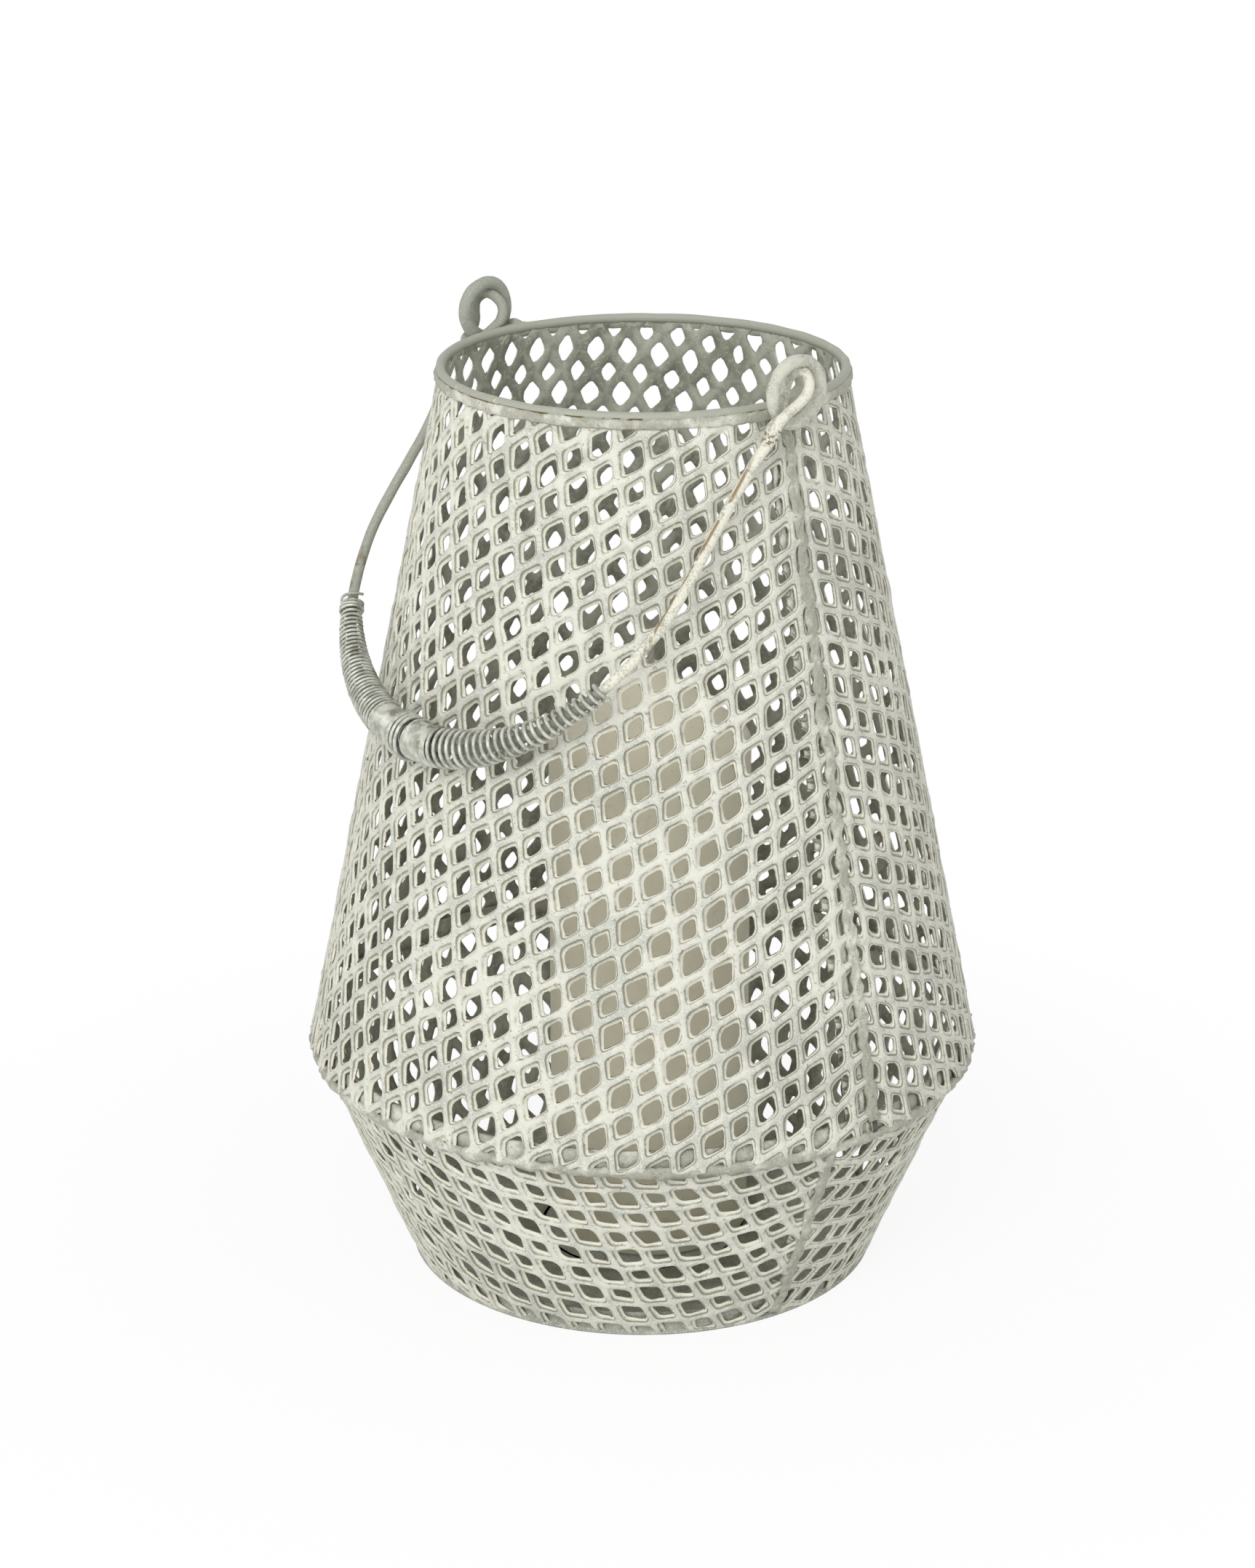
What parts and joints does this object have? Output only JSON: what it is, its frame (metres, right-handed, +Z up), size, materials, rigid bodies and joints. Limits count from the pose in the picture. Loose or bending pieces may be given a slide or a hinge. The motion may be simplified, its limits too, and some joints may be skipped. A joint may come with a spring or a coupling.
{
  "type": "candle lantern",
  "caption": "Open-topped candle lantern of pierced sheet steel with a wire bail, a wound grip and a pillar candle standing inside.",
  "frame": {"origin": "middle of the underside, at the level of the surface that the lantern stands on", "axes": "+Z up, +X along the bail's pivot line towards the ear above the upper seam, -Y towards the side that the bail leans on at rest"},
  "size_m": [0.2002, 0.2, 0.2877],
  "materials": {
    "whitewashed_sheet": "brushed off-white paint worn to grey, with rust in the edges of the holes",
    "base_steel": "dull grey-green paint, dusty",
    "aged_wire": "grey wire with patches of off-white paint and brown rust",
    "braze": "lumpy braze under thin off-white paint",
    "grip_wire": "galvanised spring wire, satin",
    "wax": "ivory wax, soft sheen",
    "wick": "unlit waxed cotton"
  },
  "bodies": {
    "lantern": {"upper_body": "whitewashed_sheet", "lower_bowl": "whitewashed_sheet", "base_plate": "base_steel", "rim_wire": "aged_wire", "right_ear_ring": "aged_wire", "left_ear_ring": "aged_wire", "right_ear_braze": "braze", "left_ear_braze": "braze", "upper_seam_braze": "braze", "lower_seam_braze": "braze"},
    "bail": {"bail_wire": "aged_wire", "grip_core": "grip_wire", "grip_coil": "grip_wire"},
    "candle": {"candle": "wax", "wick": "wick"}
  },
  "joints": [
    {"name": "bail_swing", "type": "hinge", "parent": "lantern", "child": "bail", "pos_m": [0, -0.0034, 0.2772], "axis": [-1, 0, 0], "range_deg": [0, 277.9]},
    {"name": "candle_lift", "type": "slide", "parent": "lantern", "child": "candle", "axis": [0, 0, 1], "range_m": [0, 0.3]}
  ]
}
